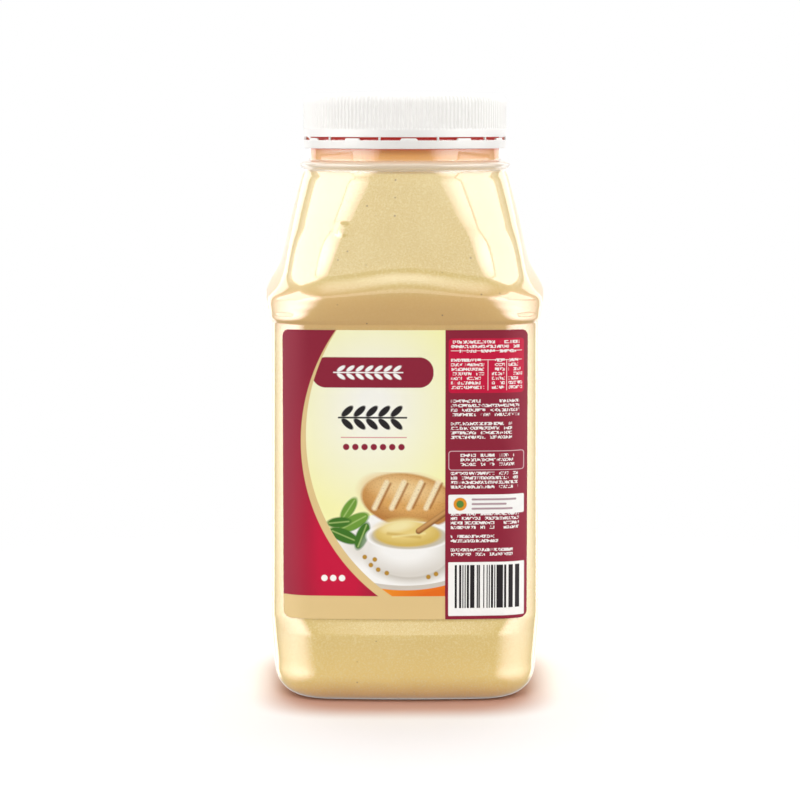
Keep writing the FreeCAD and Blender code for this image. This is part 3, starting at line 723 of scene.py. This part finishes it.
class Print:
    """Colours laid over one another on a flat sheet, u across and v up, in mm.

    A shape is a number with a gain and an offset: gain * number + offset is, near enough, the
    distance from the shape's edge, negative inside.
    """

    def __init__(self, shader, ground):
        self.shader, self.colour = shader, ground
        self.point = shader.node("ShaderNodeTexCoord").outputs["UV"]

    def local(self, x, y, size_x=1.0, size_y=1.0, turn=0.0):
        """The sheet's place seen from (x, y), turned back and in units of the sizes."""
        return self.shader.node("ShaderNodeMapping", self.point, (x, y, 0), (0, 0, turn),
                                (size_x, size_y, 1), vector_type="TEXTURE").outputs[0]

    def vector(self, operation, *inputs):
        node = self.shader.node("ShaderNodeVectorMath", *inputs, operation=operation)
        return node.outputs["Value" if operation == "LENGTH" else "Vector"]

    def disc(self, x, y, half_x, half_y=None, turn=0.0):
        """An ellipse."""
        half_y = half_x if half_y is None else half_y
        small = min(half_x, half_y)
        length = self.vector("LENGTH", self.local(x, y, half_x, half_y, turn))
        return Number(self.shader, length), small, -small

    def slab(self, x, y, half_x, half_y, corner, turn=0.0):
        """A box with rounded corners, by its middle and half sizes: the length of
        max(|p| - half + corner, 0), less the corner."""
        near = self.vector("ABSOLUTE", self.local(x, y, turn=turn))
        past = self.vector("SUBTRACT", near, (half_x - corner, half_y - corner, 0))
        length = self.vector("LENGTH", self.vector("MAXIMUM", past, (0, 0, 0)))
        return Number(self.shader, length), 1.0, -corner

    def box(self, left, bottom, right, top, corner=0.2):
        return self.slab((left + right) / 2, (bottom + top) / 2, (right - left) / 2,
                         (top - bottom) / 2, corner)

    def stroke(self, x0, y0, x1, y1, width):
        """A line with round ends."""
        length = math.hypot(x1 - x0, y1 - y0)
        return self.slab((x0 + x1) / 2, (y0 + y1) / 2, (length + width) / 2, width / 2,
                         width / 2, math.atan2(y1 - y0, x1 - x0))

    def cover(self, shape, edge=0.25, outside=False):
        """1 inside a shape and 0 outside, or the other way round, over a soft edge."""
        number, gain, offset = shape
        sign = 1 if outside else -1
        return number.math("MULTIPLY_ADD", number, sign * gain / edge,
                           0.5 + sign * offset / edge, clamp=True)

    def lay(self, colour, shape, edge=0.25, strength=None, outside=False):
        """Lays a colour inside a shape, or outside it."""
        amount = self.cover(shape, edge, outside)
        if strength is not None:
            amount = amount * strength
        self.colour = self.shader.blend(self.colour, colour, amount)

    def marks(self, colour, pitch, seed, boxes):
        """Rows of small dashes inside boxes, such as fine print is from afar: nothing can be
        read in them.  Each cell of the rows is inked or not by an even random number."""
        def drawn(size_x, size_y):
            cell = self.vector("FLOOR", self.local(seed, 0.0, size_x, size_y))
            node = self.shader.node("ShaderNodeTexWhiteNoise", cell, noise_dimensions="2D")
            return Number(self.shader, node.outputs["Value"])

        within = self.vector("FRACTION", self.local(0.0, 0.0, 1.0, pitch))
        height = Number(self.shader,
                        self.shader.node("ShaderNodeSeparateXYZ", within).outputs[1])
        band = (0.36 - abs(height - 0.5)).rise(0.0, 0.05)
        ink = band * drawn(0.42, pitch / 3).rise(0.30, 0.5) * drawn(1.9, pitch).rise(0.10, 0.14)
        region = None
        for left, bottom, right, rows in boxes:
            part = self.cover(self.box(left, bottom * pitch, right, (bottom + rows) * pitch))
            region = part if region is None else region.larger(part)
        self.colour = self.shader.blend(self.colour, colour, ink * region * 0.9)


MAROON = srgb(144, 34, 56)
CRIMSON = srgb(205, 18, 62)
TAN = srgb(231, 202, 143)
CREAM = srgb(255, 252, 184)
WHITE = srgb(255, 254, 250)
INK = srgb(38, 34, 36)

COLUMN_START = 16.3           # where the column of small print starts on the label
PICTURE_TOP = 62.0            # where the picture ends on the label


def fields_below(name):
    """A print with the cream field and its white glow."""
    art = Print(Shader(name), CREAM)
    art.lay(WHITE, art.disc(-13.0, 88.0, 22.0, 26.0), 34.0, 0.9)
    return art


def fields_above(art):
    """Lays the tan stripe, the left field with its glow and the edge of the column."""
    art.lay(TAN, art.disc(39.0, 75.5, 79.4), outside=True)
    glow = art.cover(art.disc(-27.0, 28.0, 19.0, 62.0), 22.0)
    field = art.shader.blend(MAROON, CRIMSON, glow * glow)
    art.lay(field, art.disc(37.0, 73.0, 79.5), outside=True)
    art.lay(MAROON, art.box(COLUMN_START, -9.0, 60.0, 130.0))


def label_material(art):
    """Satin paper with a print's colours."""
    return art.shader.surface(art.shader.principled(
        Base_Color=art.colour, Roughness=0.45, Specular_IOR_Level=0.12))


def label_picture():
    """The lower part of the label: a bowl of mustard with bread, leaves and seeds."""
    art = fields_below("label_picture")
    fine = art.shader.noise(1.6, 3.0, 0.6, art.local(0.0, 0.0))
    art.lay(srgb(244, 146, 38), art.box(-30.0, 8.0, 17.0, 22.0))
    art.lay(srgb(236, 112, 26), art.disc(19.0, 9.0, 20.0, 6.0), 5.0)
    art.lay(srgb(214, 206, 194), art.disc(0.0, 27.6, 33.0, 15.5))
    art.lay(WHITE, art.disc(0.0, 29.2, 33.0, 15.2))
    art.lay(srgb(234, 229, 220), art.disc(0.0, 30.5, 25.0, 9.0), 4.0)

    # loaf, scored across
    loaf = art.disc(1.5, 49.0, 19.5, 11.0, -0.16)
    art.lay(srgb(190, 130, 66), loaf, 0.8)
    art.lay(srgb(226, 172, 100), art.disc(1.0, 51.0, 17.0, 8.4, -0.16), 5.0)
    art.lay(srgb(246, 212, 152), art.disc(0.0, 54.0, 12.0, 4.0, -0.16), 5.0, 0.9)
    for offset in (-11.0, -4.0, 3.0, 10.0):
        art.lay(srgb(252, 234, 192), art.stroke(offset - 1.5, 46.0, offset + 3.5, 56.5, 2.0), 1.0)
        art.lay(srgb(160, 94, 42), art.stroke(offset + 0.2, 46.0, offset + 5.0, 56.0, 0.8), 0.8,
                0.85)
    art.lay(srgb(150, 90, 40), loaf, 1.0, fine.rise(0.52, 0.75) * 0.5)

    # leaves
    for x, y, half, turn, tone in ((-21.0, 40.0, 7.0, 0.5, 0), (-25.0, 34.5, 6.5, -0.4, 1),
                                   (-17.5, 34.5, 6.0, 1.2, 1), (-23.0, 45.5, 5.5, 1.0, 0),
                                   (-27.0, 40.0, 5.0, 0.1, 1)):
        art.lay(srgb(66, 118, 38) if tone else srgb(112, 158, 58),
                art.disc(x, y, half, half * 0.42, turn), 0.6)
        run, rise = math.cos(turn) * half * 0.8, math.sin(turn) * half * 0.8
        art.lay(srgb(180, 206, 120), art.stroke(x - run, y - rise, x + run, y + rise, 0.5), 0.5,
                0.8)

    # bowl, heap of mustard and wooden spoon
    art.lay(srgb(196, 188, 174), art.disc(2.5, 24.5, 17.0, 9.0), 3.0, 0.8)
    art.lay(srgb(226, 221, 212), art.disc(1.5, 28.0, 17.0, 10.5), 0.6)
    art.lay(WHITE, art.disc(0.0, 30.0, 14.0, 8.0), 6.0)
    art.lay(WHITE, art.disc(1.5, 34.5, 17.5, 6.2), 0.4)
    art.lay(srgb(206, 196, 176), art.disc(1.5, 34.3, 15.8, 5.2), 0.6)
    art.lay(srgb(220, 188, 96), art.disc(1.0, 35.0, 13.6, 5.0), 0.8)
    art.lay(srgb(238, 212, 130), art.disc(0.0, 37.0, 11.0, 4.6), 2.5)
    art.lay(srgb(250, 236, 176), art.disc(-2.5, 38.6, 6.0, 2.0, 0.2), 2.0)
    art.lay(srgb(204, 164, 70), art.stroke(-7.0, 35.5, 6.0, 34.0, 0.8), 1.2, 0.8)
    art.lay(srgb(246, 228, 160), art.stroke(-5.0, 34.2, 8.0, 35.6, 0.7), 0.9)
    art.lay(srgb(146, 94, 48), art.stroke(5.5, 36.5, 21.0, 47.2, 2.4), 0.5)
    art.lay(srgb(206, 154, 92), art.stroke(5.5, 36.9, 21.0, 47.7, 1.5), 0.9)
    for x, y in ((-14.0, 22.5), (-11.0, 20.6), (-7.5, 19.2), (-12.4, 24.8), (-16.5, 25.8),
                 (9.5, 17.6), (12.6, 18.8)):
        art.lay(srgb(186, 140, 48), art.disc(x, y, 0.95), 0.4)

    fields_above(art)
    for step in range(3):
        art.lay(WHITE, art.disc(-33.0 + step * 3.6, 17.0, 1.3, 1.3), 0.3)
    art.lay(TAN, art.box(-60.0, -9.0, COLUMN_START, 9.6))
    return label_material(art)


def label_top():
    """The upper part: a plain plaque with a sprig, a dark sprig, a thin rule and dots."""
    art = fields_below("label_top")
    art.lay(MAROON, art.box(-38.0, 95.2, 11.5, 107.6, 5.8))
    for step in range(7):
        x = -26.0 + step * 3.8
        art.lay(WHITE, art.disc(x, 103.0, 1.9, 0.8, 0.6), 0.3)
        art.lay(WHITE, art.disc(x, 99.8, 1.9, 0.8, -0.6), 0.3)
    art.lay(WHITE, art.stroke(-29.0, 101.4, -1.0, 101.4, 0.5))
    for step in range(5):
        x = -23.5 + step * 5.0
        art.lay(INK, art.disc(x, 85.6, 3.1, 1.3, 0.75), 0.3)
        art.lay(INK, art.disc(x, 80.4, 3.1, 1.3, -0.75), 0.3)
    art.lay(INK, art.stroke(-27.0, 83.0, 0.5, 83.0, 0.7))
    art.lay(srgb(214, 130, 130), art.stroke(-26.0, 74.9, 0.5, 74.9, 0.35))
    for step in range(7):
        art.lay(MAROON, art.disc(-24.0 + step * 3.75, 71.0, 1.3, 1.3), 0.3)

    fields_above(art)
    return label_material(art)


def label_column():
    """The label's column: boxes, rules, bars and small print in which nothing can be read."""
    shader = Shader("label_column")
    art = Print(shader, MAROON)
    art.lay(CRIMSON, art.box(17.6, 93.0, 48.4, 115.2, 1.4))
    art.lay(srgb(226, 190, 196), art.box(17.6, 61.4, 48.6, 69.4, 1.2), 0.2)
    art.lay(MAROON, art.box(17.9, 61.7, 48.3, 69.1, 1.0), 0.2)
    pitch = 1.85
    art.marks(WHITE, pitch, 0.3, (
        (18.6, 51, 32.0, 7), (35.2, 51, 40.4, 7), (42.0, 51, 47.6, 7), (22.0, 59, 45.0, 1),
        (18.6, 60, 46.5, 2), (18.6, 45, 46.5, 4), (18.6, 40, 43.5, 4), (22.5, 34, 44.5, 3),
        (18.6, 29, 46.0, 4), (18.6, 20, 46.5, 4), (18.6, 17, 38.0, 2), (18.6, 14, 44.0, 2)))
    for height in (110.2, 106.5):
        art.lay(WHITE, art.stroke(18.6, height, 47.4, height, 0.22), 0.2)
    for across in (33.6, 41.2):
        art.lay(WHITE, art.stroke(across, 94.2, across, 106.5, 0.22), 0.2)
    art.lay(WHITE, art.box(17.6, 43.6, 48.6, 51.4, 0.6), 0.2)
    art.lay(srgb(232, 150, 40), art.disc(22.4, 47.5, 2.7), 0.3)
    art.lay(srgb(92, 140, 60), art.disc(22.4, 47.5, 1.5), 0.3)
    for height, end in ((49.4, 45.0), (47.5, 41.0), (45.6, 43.5)):
        art.lay(srgb(178, 150, 156), art.stroke(27.5, height, end, height, 0.8), 0.3)
    art.lay(WHITE, art.box(17.6, 1.4, 48.8, 23.6, 0.4), 0.2)
    narrow = shader.node("ShaderNodeTexWhiteNoise",
                         art.vector("FLOOR", art.local(0.0, -500.0, 0.45, 1000.0)),
                         noise_dimensions="2D")
    wide = shader.node("ShaderNodeTexWhiteNoise",
                       art.vector("FLOOR", art.local(9.0, -500.0, 1.35, 1000.0)),
                       noise_dimensions="2D")
    bars = (Number(shader, narrow.outputs["Value"]) * 0.6
            + Number(shader, wide.outputs["Value"]) * 0.4)
    art.lay(INK, art.box(19.4, 4.6, 47.2, 22.4), 0.2, bars.rise(0.46, 0.50))
    return label_material(art)


def finish(shape, material, slot, *nodes):
    """Gives a piece its material, hangs it on the root body and hides the CAD nodes it stands for;
    slot is not used.
    """
    shape.data.materials.append(material)
    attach(shape, "root")
    if nodes:
        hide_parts(*nodes)
    return shape


finish(make_jar(), clear_plastic(), "jar", "jar")
finish(make_mustard(), mustard(), "mustard", "mustard")
cap_material = cap_plastic()
finish(make_cap(), cap_material, "lid", "lid")
finish(make_band(), cap_material, "lid")
finish(make_bridges(), cap_material, "lid")
label = finish(make_label(), label_picture(), "label", "label")
label.data.materials.append(label_top())
label.data.materials.append(label_column())
centres = np.empty(3 * len(label.data.polygons))
label.data.polygons.foreach_get("center", centres)
across, _, up = centres.reshape(-1, 3).T / MM
label.data.polygons.foreach_set("material_index", np.where(
    across > COLUMN_START + 0.6, 2, up > LABEL_BOTTOM + PICTURE_TOP).astype(np.int32))


# ------------------------------------------------------------------ floor, light, camera
WORLD_LIGHT = 0.5             # the world's level as it lights things
WORLD_IN_GLOSS = 0.5          # and as it is mirrored in gloss


def make_floor():
    """A white floor with a painted rosy shadow round the jar's foot, besides the shadow it catches;
    it fades out into the white beyond it.
    """
    half = 1200.0
    points = np.array([(-half, -half, 0), (half, -half, 0), (half, half, 0), (-half, half, 0)])
    mesh = bpy.data.meshes.new("floor")
    mesh.from_pydata((points * MM).tolist(), [], [(0, 1, 2, 3)])
    floor = bpy.data.objects.new("floor", mesh)
    bpy.context.scene.collection.objects.link(floor)
    shader = Shader("floor_white")
    x, y, _ = shader.place()
    distance = (x * x + y * y).root()
    # Painted shadow: rosy brown close round the foot, reaching a little further in front.
    near = ((x * 1.12) ** 4.0 + (y + 9.0) ** 4.0) ** 0.25
    painted_shadow_tint = shader.blend(srgb(206, 164, 148), srgb(253, 250, 249), near.soft(50.0, 76.0))
    white = shader.principled(Base_Color=painted_shadow_tint, Roughness=0.9, Specular_IOR_Level=0.0)
    clear = shader.node("ShaderNodeBsdfTransparent", (1, 1, 1, 1)).outputs[0]
    mesh.materials.append(shader.surface(shader.node(
        "ShaderNodeMixShader", distance.soft(150.0, 430.0), white, clear).outputs[0]))
    floor.visible_glossy = False


def aimed(name, data, place, aim):
    """An object at a place, in mm, whose -Z looks at a point."""
    shape = bpy.data.objects.new(name, data)
    shape.location = Vector(place) * MM
    direction = (Vector(aim) - Vector(place)).normalized()
    shape.rotation_euler = direction.to_track_quat("-Z", "Y").to_euler()
    shape.visible_camera = False
    bpy.context.scene.collection.objects.link(shape)
    return shape


def softbox(name, place, aim, width, height, radiance):
    """A rectangular lamp that lights things but isn't mirrored; sizes in mm."""
    lamp = bpy.data.lights.new(name, "AREA")
    lamp.shape = "RECTANGLE"
    lamp.size, lamp.size_y = width * MM, height * MM
    lamp.energy = radiance * math.pi * lamp.size * lamp.size_y
    aimed(name, lamp, place, aim).visible_glossy = False


def card(name, place, aim, width, height, radiance, fade):
    """A glowing card that is only mirrored in gloss; sizes in mm.  It fades out towards its
    edges over a share of its size."""
    mesh = bpy.data.meshes.new(name)
    x, y = width * MM / 2, height * MM / 2
    mesh.from_pydata([(-x, -y, 0), (x, -y, 0), (x, y, 0), (-x, y, 0)], [], [(0, 1, 2, 3)])
    shader = Shader(name)
    across, up, _ = shader.place()
    level = ((1 - abs(across) / (width / 2)).soft(0.0, fade)
             * (1 - abs(up) / (height / 2)).soft(0.0, fade))
    glow = shader.blend((WORLD_IN_GLOSS, WORLD_IN_GLOSS, WORLD_IN_GLOSS, 1),
                        (radiance, radiance, radiance, 1), level)
    mesh.materials.append(shader.surface(
        shader.node("ShaderNodeEmission", glow, 1.0).outputs[0]))
    shape = aimed(name, mesh, place, aim)
    shape.visible_diffuse = shape.visible_shadow = shape.visible_transmission = False


def make_world():
    """Even pale light: white where the camera looks past the floor, dimmer in gloss."""
    world = bpy.data.worlds.new("studio")
    bpy.context.scene.world = world
    world.use_nodes = True
    tree = world.node_tree
    tree.nodes.clear()
    path = tree.nodes.new("ShaderNodeLightPath")
    surface = None
    for level, flag in ((WORLD_LIGHT, None), (WORLD_IN_GLOSS, "Is Glossy Ray"),
                        (1.0, "Is Transmission Ray"), (1.0, "Is Camera Ray")):
        light = tree.nodes.new("ShaderNodeBackground")
        light.inputs["Color"].default_value = (1, 1, 1, 1)
        light.inputs["Strength"].default_value = level
        if flag is None:
            surface = light.outputs[0]
            continue
        choice = tree.nodes.new("ShaderNodeMixShader")
        tree.links.new(path.outputs[flag], choice.inputs[0])
        tree.links.new(surface, choice.inputs[1])
        tree.links.new(light.outputs[0], choice.inputs[2])
        surface = choice.outputs[0]
    end = tree.nodes.new("ShaderNodeOutputWorld")
    tree.links.new(surface, end.inputs["Surface"])


make_floor()
make_world()
softbox("side_left", (-1000, 60, 700), (0, 0, 250), 1060, 1300, 0.6)
softbox("side_right", (1000, 60, 700), (0, 0, 250), 1060, 1300, 0.6)
softbox("front_top", (0, -1300, 1500), (0, 0, 180), 1100, 900, 4.35)
softbox("back_top", (0, 800, 1500), (0, 0, 0), 1400, 900, 2.8)
card("side_left_card", (-1000, 60, 915), (0, 60, 915), 1060, 1170, 4.0, 0.10)
card("side_right_card", (1000, 60, 915), (0, 60, 915), 1060, 1170, 3.7, 0.18)
card("low_left_card", (-1100, -550, 500), (0, -550, 500), 3400, 3200, 5.6, 0.95)
card("low_right_card", (1100, -550, 500), (0, -550, 500), 3400, 3200, 5.1, 0.95)
card("rear_left_card", (-1050, 1150, 400), (0, 400, 400), 1300, 2400, 2.6, 0.25)
card("rear_right_card", (1050, 1150, 400), (0, 400, 400), 1300, 2400, 2.4, 0.25)
card("front_top_card", (0, -1500, 1200), (0, 0, 200), 4400, 1700, 1.1, 0.5)
card("top_card", (0, 100, 1700), (0, 0, 0), 1800, 1800, 2.6, 0.9)
card("back_card", (0, 1500, 400), (0, 0, 400), 2600, 2400, 1.2, 0.3)

CAMERA_DISTANCE = 1109.4
CAMERA_HEIGHT = 239.4
CAMERA_SIDE = -2.1
CAMERA_TILT = math.radians(6.15)
camera_data = bpy.data.cameras.new("camera")
camera_data.lens = 117.7
camera_data.sensor_width = 36.0
camera_data.clip_end = 100.0
camera = bpy.data.objects.new("camera", camera_data)
camera.location = Vector((CAMERA_SIDE, -CAMERA_DISTANCE, CAMERA_HEIGHT)) * MM
camera.rotation_euler = (math.pi / 2 - CAMERA_TILT, 0, 0)
bpy.context.scene.collection.objects.link(camera)
bpy.context.scene.camera = camera
bpy.context.scene.view_settings.view_transform = "Standard"
